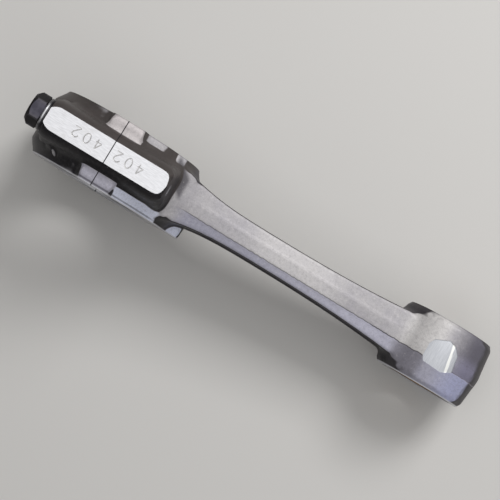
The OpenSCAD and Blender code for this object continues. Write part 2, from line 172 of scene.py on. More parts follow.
def forged_steel():
    """Blasted scale: pale on faces that look out of the die, dark on the steep flanks, which also
    paints their shade; more painted light and shade by side and place.
    """
    steel = Finish("forged_steel", metallic=0.45)
    facing_y, facing_z = steel.parts(steel.facing)[1:]
    across, up = abs(steel.y), abs(steel.z)
    patches, wander = steel.noise(9 * mm, 3), steel.noise(5 * mm, 2)
    grit = steel.noise(0.55 * mm, 3, roughness=0.65)
    speckle = steel.noise(1.7 * mm, 3, roughness=0.6)

    def along(start, end, soft):
        """Is 1 between two places along the rod, in millimetres."""
        return steel.x.within(start * mm, end * mm, soft * mm)

    # parts of the two forgings: each is 1 there and 0 elsewhere
    # the -Y side, which the key lamp leaves in shade; most coats that use this mask paint light or
    # shade
    shaded_side = steel.y.rise(1 * mm, -1 * mm)
    on_cap = steel.x.rise(-8 * mm, -10 * mm)
    seat_edge = steel.x.rise(-32 * mm, -35 * mm)
    big_end = steel.x.rise(47 * mm, 41 * mm)
    beam = steel.x.rise(44 * mm, 54 * mm)
    boss = big_end * across.rise(14 * mm, 13 * mm) * up.rise(38 * mm, 41 * mm)
    # the hollow beside the +Y boss: painted shade (darker)
    beside_boss = along(13, 30, 1) * steel.y.within(11 * mm, 15 * mm, 1.5 * mm)
    pad = (abs(steel.x).rise(12.4 * mm, 11.6 * mm) * up.rise(44.5 * mm, 45.5 * mm)
           * across.rise(11.3 * mm, 12.6 * mm))
    bevel = across.rise(12.8 * mm, 14.2 * mm)
    rod_band = along(13, 38, 3) * bevel
    # a darker stretch of the +Y bevel: painted shade
    bevel_shade = along(27, 30, 4) * bevel * (1 - shaded_side)
    # a lighter patch on the +Y bevel by the boss end: painted highlight
    lit_patch = along(33, 36, 3) * across.rise(14.5 * mm, 17 * mm) * (1 - shaded_side)
    lug = along(48, 57, 1) * bevel * shaded_side
    eye_top = along(188, 222, 5) * across.rise(15.5 * mm, 14 * mm)
    eye_end = along(214, 232, 4) * shaded_side

    # the tilt of the surface decides how bright it was blasted, and so also paints the shade that
    # falls on steep faces;
    # the bosses and most of the cap are dark all round. Some terms, by place, add painted light and
    # shade on the bevels
    outward = facing_z * (steel.z.rise(-0.5 * mm, 0.5 * mm) * 2 - 1)
    tilt = (outward + (wander - 0.5) * 0.10 - 0.5 * boss * (1 - pad) + 0.15 * pad
            - 0.12 * on_cap * (1 - pad) - 0.6 * seat_edge + 0.15 * eye_top + 0.15 * eye_end
            + rod_band * (0.20 * shaded_side + 0.02) + 0.25 * lit_patch - 0.3 * bevel_shade
            - 0.3 * beside_boss)
    bright = tilt.rise(0.64, 0.76)

    # flash band: trimmed metal stands a little proud along the die's parting
    border = steel.y + (steel.noise(3.5 * mm, 3, steel.stretched(1, 0, 0)) - 0.5) * (1.6 * mm)
    below = border.rise(-4.8 * mm, -5.2 * mm) * beam
    trim_line = border.within(-5.15 * mm, -4.85 * mm, 0.25 * mm) * beam
    sharp_trim = 0.35 + 0.65 * along(178, 212, 5)
    upper_line = border.within(2.45 * mm, 2.65 * mm, 0.5 * mm) * beam

    # dark scale, with painted light and shade: brown on the big end's +Y side, where the light
    # falls, black (painted shade) on its other side, fewer brown patches on the shaded side, and
    # blackest, as painted shade, on the steep faces of the -Y side
    flank = steel.layers(
        paint(58, 55, 60),
        (big_end, steel.mix(facing_y.rise(0.2, -0.2), paint(72, 66, 64), paint(22, 20, 24))),
        (patches.rise(0.45, 0.75) * (0.3 - 0.24 * shaded_side), paint(92, 84, 82)),
        (abs(facing_z).rise(0.55, 0.30) * (0.45 + 0.4 * beam) * shaded_side, paint(18, 17, 22)))

    # blasted steel below the flash band, darker and bluish: painted shade, as the drafted -Y side
    # faces away from the light
    beam_end = steel.x.rise(70 * mm, 170 * mm) * steel.x.rise(205 * mm, 195 * mm)
    bluish = steel.layers(
        steel.mix(beam_end, paint(162, 161, 175), paint(188, 187, 201)),
        (patches.rise(0.35, 0.7) * 0.4, paint(170, 168, 180)),
        # darker where the neck falls away before the eye: painted shade
        (along(195, 206, 6) * 0.8, paint(128, 125, 133)))

    # blasted steel elsewhere: palest half way along the beam and before the eye, as painted light;
    # painted shade over the eye's end, and painted shade on the shoulder by the boss end
    shade = steel.x.rise(212 * mm, 234 * mm) * (0.95 - 0.9 * below)
    off_end = (steel.x - 41 * mm) * 0.64 + (steel.y - 8.5 * mm) * 0.77
    # painted shade in the hollow where the boss end meets the shoulder
    shoulder_shade = off_end.within(-4 * mm, 2.5 * mm, 3 * mm) * along(35, 43, 3)
    pale = steel.layers(
        steel.mix(patches.rise(0.3, 0.7), paint(171, 168, 172), paint(183, 180, 182)),
        (along(105, 135, 25) * 0.5, paint(212, 209, 208)),
        (along(197, 210, 9) * 0.6, paint(226, 223, 220)),
        (below, bluish),
        # a painted reflection, pale and bluish, on the -Y bevel of the rod's ring and on the lug
        ((rod_band * shaded_side + lug).low(1.0), paint(234, 238, 255)),
        (lit_patch * 0.8, paint(214, 212, 216)),
        # the pads: painted light on the +Y pads, painted shade (darker, bluish) on the -Y pads
        (pad, steel.mix(shaded_side, paint(194, 188, 188), paint(164, 162, 173))),
        # painted light, pale and bluish, on the lower half of the eye's end
        (steel.x.rise(214 * mm, 233 * mm) * below * 0.7, paint(192, 196, 232)),
        (shade, steel.mix(steel.y.rise(9 * mm, 0), paint(108, 105, 117), paint(139, 136, 158))),
        (shoulder_shade * 0.8, paint(74, 71, 78)))

    # over both: grit, the flash's trim lines with painted shade and highlight, a dark line on the
    # -Y band, a painted glint, and the rims with a painted highlight
    # the trim line's colour: painted shade before x 226, a painted highlight beyond it
    trim_shade_and_highlight = steel.mix(steel.x.rise(226 * mm, 230 * mm), paint(66, 62, 68), paint(206, 198, 210))
    # a dark line along the -Y band, next to its rim
    band_dark_line = (across.within(18.3 * mm, 18.9 * mm, 0.3 * mm) * shaded_side
                 * steel.x.rise(42 * mm, 34 * mm))
    # a painted glint on the rod's boss end
    glint = (along(37.1, 37.2, 0.5) * steel.y.within(-2.6 * mm, 0.6 * mm, 2.4 * mm)
             * up.rise(38 * mm, 40 * mm))
    # the rims: a painted highlight on the -Y side; on the +Y side they are darker
    rim = across.rise(19.2 * mm, 19.7 * mm)
    colour = steel.layers(
        steel.mix(bright, flank, pale),
        (grit.rise(0.60, 0.30) * 0.18, paint(70, 66, 68)),
        (speckle.rise(0.52, 0.32) * 0.16, paint(92, 88, 92)),
        (speckle.rise(0.58, 0.72) * 0.30 * bright * (1 - shade), paint(214, 210, 208)),
        (upper_line * 0.10, paint(96, 90, 92)),
        (trim_line * sharp_trim * 0.75, trim_shade_and_highlight),
        (band_dark_line * 0.55, paint(40, 38, 46)),
        (glint * grit.rise(0.62, 0.40) * 0.8, paint(206, 206, 212)),
        (rim * (0.35 + 0.5 * shaded_side),
         steel.mix(shaded_side, paint(60, 56, 56), paint(216, 216, 222))))
    steel.set(Base_Color=dark_joint(steel, colour),
              Roughness=0.40 + 0.14 * patches + 0.16 * bright)
    steel.relief((grit, 0.030 * mm), (wander, 0.08 * mm), (below, -0.12 * mm),
                 (trim_line, -0.10 * mm))
    return steel.material


def milled_steel():
    """The flats: fly cut, so they carry wide faint arcs, with a satin sheen."""
    steel = Finish("milled_steel", metallic=0.75, roughness=0.40)
    cutter_centre = steel.node("ShaderNodeMapping",
                               inputs={"Vector": steel.place, "Location": (0, 55 * mm, 0)})
    arcs = steel.node("ShaderNodeTexWave", {"wave_type": "RINGS", "rings_direction": "Z"},
                      {"Vector": cutter_centre, "Scale": 380.0, "Distortion": 0.4, "Detail": 1.0})
    streaks = steel.noise(0.5 * mm, 3, steel.stretched(0.12, 1, 1))
    stain = steel.noise(8 * mm, 3).rise(0.55, 0.8)
    colour = steel.layers(
        steel.mix(streaks.rise(0.35, 0.65), paint(216, 216, 219), paint(231, 231, 234)),
        (stain * 0.3, paint(186, 181, 178)))
    steel.set(Base_Color=dark_joint(steel, colour),
              Roughness=0.34 + 0.12 * streaks + 0.10 * stain)
    steel.relief((arcs, 0.0025 * mm), (streaks, 0.003 * mm))
    return steel.material


def ground_steel():
    """The thrust faces and the joint: ground across, with fine straight scratches."""
    steel = Finish("ground_steel", metallic=0.85, roughness=0.3)
    scratches = steel.noise(0.35 * mm, 4, steel.stretched(0.06, 1, 1), roughness=0.7)
    stain = steel.noise(14 * mm, 3).rise(0.5, 0.8)
    colour = steel.layers(
        steel.mix(scratches.rise(0.35, 0.7), paint(176, 176, 180), paint(204, 204, 206)),
        (stain * 0.4, paint(150, 143, 138)))
    steel.set(Base_Color=dark_joint(steel, colour),
              Roughness=0.24 + 0.18 * scratches + 0.08 * stain)
    steel.relief((scratches, 0.004 * mm))
    return steel.material


def bored_steel():
    """Bores, bolt holes and spot faces: turned or drilled, with fine rings."""
    steel = Finish("bored_steel", metallic=0.85, roughness=0.3)
    rings = steel.noise(0.3 * mm, 3, steel.stretched(0.05, 1, 0.05))
    colour = steel.mix(rings.rise(0.3, 0.7), paint(160, 160, 164), paint(194, 194, 197))
    steel.set(Base_Color=dark_joint(steel, colour), Roughness=0.26 + 0.14 * rings)
    steel.relief((rings, 0.004 * mm))
    return steel.material


def stamped_steel():
    """Floors of the stamped numbers: bare and a little dirty."""
    steel = Finish("stamped_steel", metallic=0.7, roughness=0.45)
    dirt = steel.noise(0.8 * mm, 3)
    steel.set(Base_Color=steel.mix(dirt.rise(0.35, 0.7), paint(178, 176, 176),
                                   paint(212, 211, 210)))
    steel.relief((dirt, 0.01 * mm))
    return steel.material


def spot_steel():
    """The spot ground bright on the eye: fine scratches across, and one painted highlight."""
    steel = Finish("spot_steel", metallic=0.3)
    slant = steel.x + steel.y * 0.2
    scratches = steel.noise(0.4 * mm, 4, steel.stretched(1, 0.06, 0.3), roughness=0.7)
    wide = steel.noise(2.2 * mm, 2, steel.stretched(1, 0.12, 0.3))
    # one painted highlight across the spot, near its +X side
    highlight_streak = (slant + (wide - 0.5) * (1.2 * mm)).within(221.1 * mm, 222.1 * mm, 0.6 * mm)
    colour = steel.layers(
        steel.mix(scratches.rise(0.3, 0.7), paint(184, 186, 192), paint(204, 206, 211)),
        (wide.rise(0.6, 0.8) * 0.5, paint(180, 182, 186)),
        (highlight_streak * 0.95, paint(254, 254, 250)))
    steel.set(Base_Color=colour, Roughness=0.32 + 0.16 * scratches)
    steel.relief((scratches, 0.006 * mm), (wide, 0.02 * mm))
    return steel.material


surfaces = {"forged": forged_steel(), "milled": milled_steel(), "ground": ground_steel(),
            "bored": bored_steel(), "stamped": stamped_steel(), "spot": spot_steel()}

# ---- Rod -----------------------------------------------------------------------------------
# One forging: half of the big end, two bolt bosses, an I-shaped beam and the small-end eye. It
# is forged with spare metal, with soft hollows wherever two forms meet, and then machined.

rod_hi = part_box("rod_body")[1]
bush_lo, bush_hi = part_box("small_end_bush")
shell_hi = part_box("shell_rod_side")[1]
bolt_lo, bolt_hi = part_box("bolt_upper")
dowel_lo, dowel_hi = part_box("dowel_upper")

fit = 0.01 * mm                          # clearance of the shells, the bush and the dowels
face_y = rod_hi.y                        # ground thrust faces of both ends
flat_z = rod_hi.z                        # milled flats over the bolts
bolt_z = (bolt_lo.z + bolt_hi.z) / 2
bolt_axes = {side: side * along_z * bolt_z for side in (1, -1)}
eye_x = (bush_lo.x + bush_hi.x) / 2
eye_r = rod_hi.x - eye_x
housing_r = shell_hi.x + fit
eye_bore_r = (bush_hi.x - bush_lo.x) / 2 + fit
dowel_r = (dowel_hi.z - dowel_lo.z) / 2 + fit
dowel_sink = dowel_hi.x + 0.3 * mm
thread_hole_r = 6.05 * mm
thread_hole_end = bolt_hi.x + 2.5 * mm
drill_point = 3 * mm
oil_hole_r = 2.5 * mm
mouth_chamfer = 0.8 * mm
tang_y, tang_half_w = 8 * mm, 3.15 * mm
tang_len, tang_r = 5.15 * mm, housing_r + 1.45 * mm

spare = 3 * mm                           # metal left on every face that is machined
grain = 0.7 * mm                         # size of the blank's mesh
on_face = 0.01 * mm                      # a corner this near to a plane counts as on it
weld = 0.002 * mm                        # corners this near to each other are one
solid_weld = 0.001 * mm                  # the same in a solid's loose triangles


def add_bar(bm, radius, start, end):
    """A round bar between two points."""
    run = end - start
    turn = run.to_track_quat("Z", "Y").to_matrix().to_4x4()
    bmesh.ops.create_cone(bm, cap_ends=True, segments=64, radius1=radius, radius2=radius,
                          depth=run.length, matrix=Matrix.Translation((start + end) / 2) @ turn)


def add_block(bm, low, high):
    """A block between two opposite corners."""
    low, high = Vector(low), Vector(high)
    bmesh.ops.create_cube(bm, size=1, matrix=Matrix.Translation((low + high) / 2)
                          @ Matrix.Diagonal((*(high - low), 1)))


def add_turned(bm, outline, origin, along, out, steps=96):
    """A closed round shape: its outline, as (along, radius) pairs, spun round a line."""
    points = [bm.verts.new(origin + along * a + out * r) for a, r in outline]
    edges = [bm.edges.new(pair) for pair in zip(points, points[1:])]
    bmesh.ops.spin(bm, geom=points + edges, cent=origin, axis=along, angle=2 * pi, steps=steps,
                   use_merge=True, use_duplicate=False)
    bmesh.ops.remove_doubles(bm, verts=bm.verts, dist=weld)
    bmesh.ops.recalc_face_normals(bm, faces=bm.faces)


def push_out(bm, faces, move):
    """Extrudes faces, all together, by a move."""
    grown = bmesh.ops.extrude_face_region(bm, geom=faces)["geom"]
    corners = [g for g in grown if isinstance(g, bmesh.types.BMVert)]
    bmesh.ops.translate(bm, vec=move, verts=corners)


def ease(bm, verts, passes):
    """Smooths some of the vertices, a number of times."""
    for _ in range(passes):
        bmesh.ops.smooth_vert(bm, verts=verts, factor=0.5,
                              use_axis_x=True, use_axis_y=True, use_axis_z=True)


def apply_modifiers(piece):
    """Bakes a piece's modifiers into its mesh."""
    modified = piece.evaluated_get(bpy.context.evaluated_depsgraph_get())
    solved = bpy.data.meshes.new_from_object(modified)
    piece.modifiers.clear()
    worn_out, piece.data = piece.data, solved
    bpy.data.meshes.remove(worn_out)


def new_object(name, data):
    """An object at the origin of the scene."""
    made = bpy.data.objects.new(name, data)
    bpy.context.scene.collection.objects.link(made)
    return made


def as_piece(bm, name):
    """An object from mesh work, with every surface of the forgings in its slots."""
    mesh = bpy.data.meshes.new(name)
    bm.to_mesh(mesh)
    bm.free()
    for surface in surfaces.values():
        mesh.materials.append(surface)
    return new_object(name, mesh)


class Blank:
    """A forging before it is machined, started from a copy of its solid."""

    def __init__(self, node):
        self.bm = bmesh.new()
        self.bm.from_mesh(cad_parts[node].data)
        bmesh.ops.remove_doubles(self.bm, verts=self.bm.verts, dist=solid_weld)
        for face in self.bm.faces:
            face.material_index = 0

    def thicken(self, test, move):
        """Adds spare metal over the flat faces whose corners all pass the test."""
        faces = [f for f in self.bm.faces if all(test(v.co) for v in f.verts)]
        push_out(self.bm, faces, move)
        bmesh.ops.delete(self.bm, geom=faces, context="FACES_ONLY")

    def take(self, other):
        """Adds another closed form to the blank."""
        mesh = bpy.data.meshes.new("form")
        other.to_mesh(mesh)
        other.free()
        self.bm.from_mesh(mesh)
        bpy.data.meshes.remove(mesh)

    def forged(self, name, exact=(0, 0)):
        """The blank as one skin, which keeps to the solid's surface between two exact places."""
        form = BVHTree.FromBMesh(self.bm)
        piece = as_piece(self.bm, name)
        skin = piece.modifiers.new("skin", "REMESH")
        skin.mode, skin.voxel_size = "VOXEL", grain
        apply_modifiers(piece)
        soften(piece)
        settle(piece, form, *exact)
        return piece


hollow_turn = radians(9)                 # a crease sharper than this is a hollow to fill
hollow_reach = 5                         # how many mesh edges a fillet spreads to each side
hollow_rings = 3                         # how many of its widest spreads are smoothed
hollow_passes = 18                       # smoothing passes at each of them
edge_passes = 3                          # light rounding of everything else
settle_run = 6 * mm                      # length in which the skin goes over to the form
settle_passes = 2                        # smoothing passes after that


def soften(piece):
    """Fills the hollows with a fillet, and breaks the outer edges only a little."""
    bm = bmesh.new()
    bm.from_mesh(piece.data)
    bm.normal_update()
    hollow = {v for e in bm.edges if len(e.link_faces) == 2 and not e.is_convex
              and e.calc_face_angle(0) > hollow_turn for v in e.verts}
    spreads = []
    for _ in range(hollow_reach):
        hollow = hollow | {e.other_vert(v) for v in hollow for e in v.link_edges}
        spreads.append(list(hollow))
    for spread in reversed(spreads[-hollow_rings:]):
        ease(bm, spread, hollow_passes)
    ease(bm, list(bm.verts), edge_passes)
    bm.to_mesh(piece.data)
    bm.free()


def settle(piece, form, start, end):
    """Lays the skin on the form it was made from, between two places along the rod."""
    bm = bmesh.new()
    bm.from_mesh(piece.data)
    run = [v for v in bm.verts if start < v.co.x < end]
    for vert in run:
        share = min(1, (vert.co.x - start) / settle_run, (end - vert.co.x) / settle_run)
        vert.co = vert.co.lerp(form.find_nearest(vert.co)[0], share)
    if run:
        ease(bm, run, settle_passes)
    bm.to_mesh(piece.data)
    bm.free()


def machine(piece, surface, cutter):
    """Cuts a closed cutter out of a piece; the new faces take one of the surfaces."""
    for face in cutter.faces:
        face.material_index = list(surfaces).index(surface)
    tool = as_piece(cutter, "cutter")
    cut = piece.modifiers.new("cut", "BOOLEAN")
    cut.operation, cut.solver = "DIFFERENCE", "MANIFOLD"
    cut.object, cut.material_mode = tool, "INDEX"
    apply_modifiers(piece)
    spent = tool.data
    bpy.data.objects.remove(tool)
    bpy.data.meshes.remove(spent)


def face_off(piece, surface, *blocks):
    """Cuts blocks, each given by two opposite corners, off a piece."""
    cutter = bmesh.new()
    for low, high in blocks:
        add_block(cutter, low, high)
    machine(piece, surface, cutter)


far = 0.4                                # beyond the part in every direction


def face_outside(piece):
    """Grinds a piece's two thrust faces and mills the two flats over its bolts."""
    face_off(piece, "ground", ((-far, face_y, -far), (far, far, far)),
             ((-far, -far, -far), (far, -face_y, far)))
    face_off(piece, "milled", ((-far, -far, flat_z), (far, far, far)),
             ((-far, -far, -far), (far, far, -flat_z)))


def bore(piece, radius, x):
    """A bore across the piece at x, with a chamfer at each mouth."""
    mouth, c = face_y + mouth_chamfer, mouth_chamfer
    cutter = bmesh.new()
    add_turned(cutter, [(-mouth, 0), (-mouth, radius + 2 * c), (c - face_y, radius),
                        (face_y - c, radius), (mouth, radius + 2 * c), (mouth, 0)],
               along_x * x, along_y, along_z, steps=144)
    machine(piece, "bored", cutter)


edge_turn = radians(38)                  # an edge sharper than this stays crisp
edge_weld = 0.003 * mm                   # corners nearer than this are joined first


def finish_edges(piece):
    """Smooth shading that breaks where two surfaces meet, and at crisp edges."""
    bm = bmesh.new()
    bm.from_mesh(piece.data)
    bmesh.ops.remove_doubles(bm, verts=bm.verts, dist=edge_weld)
    for face in bm.faces:
        face.smooth = True
    for edge in bm.edges:
        sides = edge.link_faces
        edge.smooth = (len(sides) == 2 and sides[0].material_index == sides[1].material_index
                       and edge.calc_face_angle(0) < edge_turn)
    bm.to_mesh(piece.data)
    bm.free()


through = along_y * (face_y + spare)     # from the middle to outside a thrust face
housing_core_r = housing_r + 1.8 * mm    # bars that fill the solid's holes until they are bored
eye_core_r = eye_bore_r + 1.2 * mm
oil_core_r, oil_core_end = oil_hole_r + 0.5 * mm, eye_x + eye_r - 0.3 * mm
beam_run = (52 * mm, 190 * mm)           # between the shoulders and the eye

# a boss is round, tapers to a crown, and ends in a drafted face
boss_r, boss_len, boss_draft = 11.6 * mm, 35.4 * mm, radians(12)
boss_taper, crown_r = 6 * mm, 18 * mm
crown_steps = [step * mm for step in range(11)]
boss_outline = ([(-spare, 0), (-spare, boss_r)]
                + [(boss_len - boss_taper + step, boss_r - crown_r + sqrt(crown_r ** 2 - step ** 2))
                   for step in crown_steps]
                + [(boss_len - boss_taper + crown_steps[-1], 0)])

blank = Blank("rod_body")
blank.thicken(lambda p: abs(p.x) < on_face, -along_x * spare)
for side, axis in bolt_axes.items():
    blank.thicken(lambda p: side * p.y > face_y - on_face, side * along_y * spare)
    boss = bmesh.new()
    add_turned(boss, boss_outline, axis, along_x, along_z)
    end = bmesh.ops.bisect_plane(boss, geom=boss.verts[:] + boss.edges[:] + boss.faces[:],
                                 plane_co=(boss_len, 0, side * flat_z),
                                 plane_no=(cos(boss_draft), 0, side * sin(boss_draft)),
                                 clear_outer=True)["geom_cut"]
    bmesh.ops.contextual_create(boss, geom=[g for g in end if isinstance(g, bmesh.types.BMEdge)])
    blank.take(boss)
add_bar(blank.bm, housing_core_r, -through, through)
add_bar(blank.bm, eye_core_r, along_x * eye_x - through, along_x * eye_x + through)
add_bar(blank.bm, oil_core_r, along_x * eye_x, along_x * oil_core_end)
rod = blank.forged("rod_forging", exact=beam_run)

face_off(rod, "ground", ((-far, -far, -far), (0, far, far)))
face_outside(rod)
bore(rod, housing_r, 0)
bore(rod, eye_bore_r, eye_x)
tapped = bmesh.new()
for axis in bolt_axes.values():
    add_turned(tapped, [(-spare, 0), (-spare, dowel_r), (dowel_sink, dowel_r),
                        (dowel_sink, thread_hole_r), (thread_hole_end, thread_hole_r),
                        (thread_hole_end + drill_point, 0)], axis, along_x, along_y)
machine(rod, "bored", tapped)
drilled = bmesh.new()
add_bar(drilled, oil_hole_r, along_x * eye_x, along_x * (eye_x + eye_r + spare))
machine(rod, "bored", drilled)


def tang_slot(toward):
    """The cutter of the slot that a shell's locating tang lies in."""
    cutter = bmesh.new()
    end = toward * tang_len
    add_block(cutter, (min(-toward * spare, end), tang_y - tang_half_w, -tang_r),
              (max(-toward * spare, end), tang_y + tang_half_w, 0))
    return cutter


machine(rod, "bored", tang_slot(1))

# A spot ground by hand on the eye: it follows the drafted surface, a little below it. What is
# ground off is a prism of the spot's outline, less a drum of the eye's own form.
spot_edge = [(207.3, -4.9), (207.2, 2.9), (209.1, 6.5), (216.9, 9.9), (221.6, 8.2),
             (224.7, 4.4), (226.4, -5.3), (220.5, -8.4), (208.9, -7.6)]
spot_depth, spot_top = 0.85 * mm, 40 * mm
parting_y, parting_half_w = -1.2 * mm, 3.75 * mm
eye_draft, drum_half_w = radians(6), 14 * mm
spot = bmesh.new()
spot.faces.new([spot.verts.new(Vector((x * mm, y * mm, 0))) for x, y in spot_edge])
push_out(spot, spot.faces[:], along_z * spot_top)
bmesh.ops.recalc_face_normals(spot, faces=spot.faces)
spot = as_piece(spot, "spot")


def ground_r(y):
    """Radius of the eye's drafted surface, less the metal that is ground off."""
    return eye_r - spot_depth - max(0, abs(y - parting_y) - parting_half_w) * tan(eye_draft)


drum = bmesh.new()
drum_places = (-drum_half_w, parting_y - parting_half_w, parting_y + parting_half_w, drum_half_w)
add_turned(drum, [(-drum_half_w, 0)] + [(y, ground_r(y)) for y in drum_places] + [(drum_half_w, 0)],
           along_x * eye_x, along_y, along_z, steps=256)
machine(spot, "spot", drum)
grinding = bmesh.new()
grinding.from_mesh(spot.data)
bpy.data.objects.remove(spot)
machine(rod, "spot", grinding)

match_number = "402"                     # the same on rod and cap, so that the two stay together
digit_h, digit_w, digit_pitch = 5.6 * mm, 3.5 * mm, 6.6 * mm
groove_r, groove_lift = 0.36 * mm, 0.14 * mm     # a round groove, its centre above the flat

# the digits' strokes in a unit square, as (right, high) points
loop = [(0.5 + 0.5 * sin(2 * pi * i / 20), 0.5 + 0.5 * cos(2 * pi * i / 20)) for i in range(20)]
hook = [(0.5 - 0.5 * cos(pi * i / 10), 0.74 + 0.26 * sin(pi * i / 10)) for i in range(11)]
strokes = {"4": [[(0.72, 0), (0.72, 1)], [(0.72, 1), (0, 0.3)], [(0, 0.3), (1, 0.3)]],
           "0": [loop + loop[:1]], "2": [hook + [(0.92, 0.55), (0, 0)], [(0, 0), (1, 0)]]}


def stamp(piece, first_x):
    """Stamps the number into the upper flat, to be read from the rod's +Y side."""
    for place, digit in enumerate(match_number):
        for stroke in strokes[digit]:
            path = bpy.data.curves.new("stroke", "CURVE")
            path.dimensions, path.use_fill_caps = "3D", True
            path.bevel_depth, path.bevel_resolution = groove_r, 3
            line = path.splines.new("POLY")
            closed = stroke[0] == stroke[-1]
            points = stroke[:-1] if closed else stroke
            line.points.add(len(points) - 1)
            line.use_cyclic_u = closed
            for point, (right, high) in zip(line.points, points):
                point.co = (first_x - place * digit_pitch - right * digit_w,
                            -(high - 0.5) * digit_h, flat_z + groove_lift, 1)
            tube = bpy.data.objects.new("stroke", path)
            groove = bmesh.new()
            groove.from_mesh(bpy.data.meshes.new_from_object(tube))
            bmesh.ops.remove_doubles(groove, verts=groove.verts, dist=weld)
            bmesh.ops.recalc_face_normals(groove, faces=groove.faces)
            machine(piece, "stamped", groove)
            bpy.data.objects.remove(tube)


stamp(rod, first_x=20 * mm)
finish_edges(rod)

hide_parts("rod_body")
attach(rod, "root")

# ---- Cap -----------------------------------------------------------------------------------
# The other half of the big end, forged from the same steel. Its bolt seats are spot faced, and a
# hardness test has left a small dimple on its bevel.

washer_lo, washer_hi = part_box("washer_upper")

bolt_seat_x = washer_hi.x
bolt_hole_r = 6.3 * mm
boss_bevel = 1.2 * mm
cap_boss_outline = [(spare, 0), (spare, boss_r), (bolt_seat_x + boss_bevel, boss_r),
                    (bolt_seat_x, boss_r - boss_bevel),
                    (bolt_seat_x - spare, boss_r - 1.6 * boss_bevel), (bolt_seat_x - spare, 0)]
seat_z = bolt_z - boss_r - 1.5 * mm      # the spot facing ends short of the cap's crown
dimple_ball_r, dimple_ball_at = 5 * mm, Vector((-28.05, -16.80, 37.22)) * mm

blank = Blank("bearing_cap")
blank.thicken(lambda p: abs(p.x) < on_face, along_x * spare)
for side, axis in bolt_axes.items():
    blank.thicken(lambda p: side * p.y > face_y - on_face, side * along_y * spare)
    add_turned(blank.bm, cap_boss_outline, axis, along_x, along_z)
add_bar(blank.bm, housing_core_r, -through, through)
cap = blank.forged("cap_forging")

face_off(cap, "ground", ((0, -far, -far), (far, far, far)))
face_outside(cap)
bore(cap, housing_r, 0)
face_off(cap, "bored", ((bolt_seat_x - 2 * spare, -far, seat_z), (bolt_seat_x, far, far)),
         ((bolt_seat_x - 2 * spare, -far, -far), (bolt_seat_x, far, -seat_z)))
drilled = bmesh.new()
for axis in bolt_axes.values():
    add_turned(drilled, [(bolt_seat_x - spare, 0), (bolt_seat_x - spare, bolt_hole_r),
                         (-dowel_sink, bolt_hole_r), (-dowel_sink, dowel_r), (spare, dowel_r),
                         (spare, 0)], axis, along_x, along_y)
machine(cap, "bored", drilled)
machine(cap, "bored", tang_slot(-1))
dimple = bmesh.new()
bmesh.ops.create_icosphere(dimple, subdivisions=4, radius=dimple_ball_r,
                           matrix=Matrix.Translation(dimple_ball_at))
machine(cap, "forged", dimple)
stamp(cap, first_x=-5.6 * mm)
finish_edges(cap)

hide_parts("bearing_cap")
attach(cap, "root")

# ---- Bearing shells ------------------------------------------------------------------------
# Two half shells of steel strip, copper flashed on the back, with a soft grey lining that is
# bored to size. Each is held by its crush in the housing, and placed by a small tang.

shell_bore_r, lining_t = 31.78 * mm, 0.35 * mm


def lined_strip():
    """Soft lining inside, with fine boring marks and polish where it has run; steel outside."""
    strip = Finish("lined_strip", metallic=0.75)
    from_axis = (strip.x * strip.x + strip.z * strip.z).root()
    rings = strip.noise(0.25 * mm, 3, strip.stretched(0.04, 1, 0.04))
    clouds = strip.noise(11 * mm, 3)
    outside = from_axis.rise(shell_bore_r + lining_t, shell_bore_r + lining_t + 0.1 * mm)
    colour = strip.layers(
        strip.mix(rings.rise(0.3, 0.7), paint(138, 139, 144), paint(164, 165, 169)),
        (clouds.rise(0.5, 0.75) * 0.5, paint(120, 119, 124)),
        (outside, strip.mix(clouds.rise(0.35, 0.7), paint(150, 128, 116), paint(166, 150, 142))))
    strip.set(Base_Color=colour, Roughness=0.28 + 0.16 * clouds + 0.08 * rings)
    strip.relief((rings, 0.004 * mm))
    return strip.material


def dress(node, material):
    """Gives every slot of a solid the material."""
    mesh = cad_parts[node].data
    mesh.materials.clear()
    mesh.materials.append(material)


lining = lined_strip()
for node in ("shell_rod_side", "shell_cap_side"):
    dress(node, lining)

# ---- Small-end bush ------------------------------------------------------------------------
# A bronze bush for the piston pin. It is wrapped from strip, pressed into the eye, and then
# bored to size in its place.


def bronze():
    """Bronze with fine boring rings, browned by handling, and darker brown on its end faces as
    painted shade.
    """
    metal = Finish("bronze", metallic=0.85)
    rings = metal.noise(0.25 * mm, 3, metal.stretched(0.04, 1, 0.04))
    brown = metal.noise(8 * mm, 3)
    colour = metal.layers(
        metal.mix(rings.rise(0.3, 0.7), paint(168, 130, 84), paint(192, 154, 104)),
        (brown.rise(0.45, 0.8) * 0.6, paint(122, 92, 62)),
        # painted shade: the end faces darker brown
        (abs(metal.y).rise(19 * mm, 19.4 * mm) * 0.8, paint(84, 64, 48)))
    metal.set(Base_Color=colour, Roughness=0.28 + 0.2 * brown)
    metal.relief((rings, 0.005 * mm))
    return metal.material


dress("small_end_bush", bronze())

# ---- Dowels --------------------------------------------------------------------------------
# Hollow steel pins, ground on the outside. They lie in counterbores round the bolts, half in the
# rod and half in the cap, and place one on the other.


